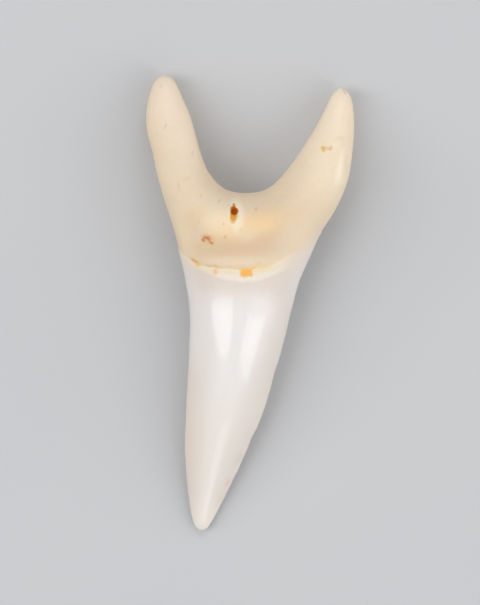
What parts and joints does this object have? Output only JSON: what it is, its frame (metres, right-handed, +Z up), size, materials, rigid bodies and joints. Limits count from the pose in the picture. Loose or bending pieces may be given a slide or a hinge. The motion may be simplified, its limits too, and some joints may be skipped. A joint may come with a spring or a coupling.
{
  "type": "fossil mako shark tooth",
  "caption": "Fossil mako shark tooth for display: a slender, smooth, leaning crown with keen side edges on a thick root that forks into long lobes, with a small nutrient slit.",
  "frame": {"origin": "on the resting surface, under the middle of the tooth's box; the tooth lies on its flatter outer (labial) face, on the ends of its root lobes and the end of its crown", "axes": "+Y from the crown's tip towards the root lobes, +Z up from the resting surface through the bulging inner (lingual) face, +X to the right when that face is seen with the root at the top"},
  "size_m": [0.023, 0.0502, 0.0119],
  "materials": {
    "tooth": "satin"
  },
  "bodies": {
    "root": {"tooth": "tooth"}
  },
  "joints": []
}
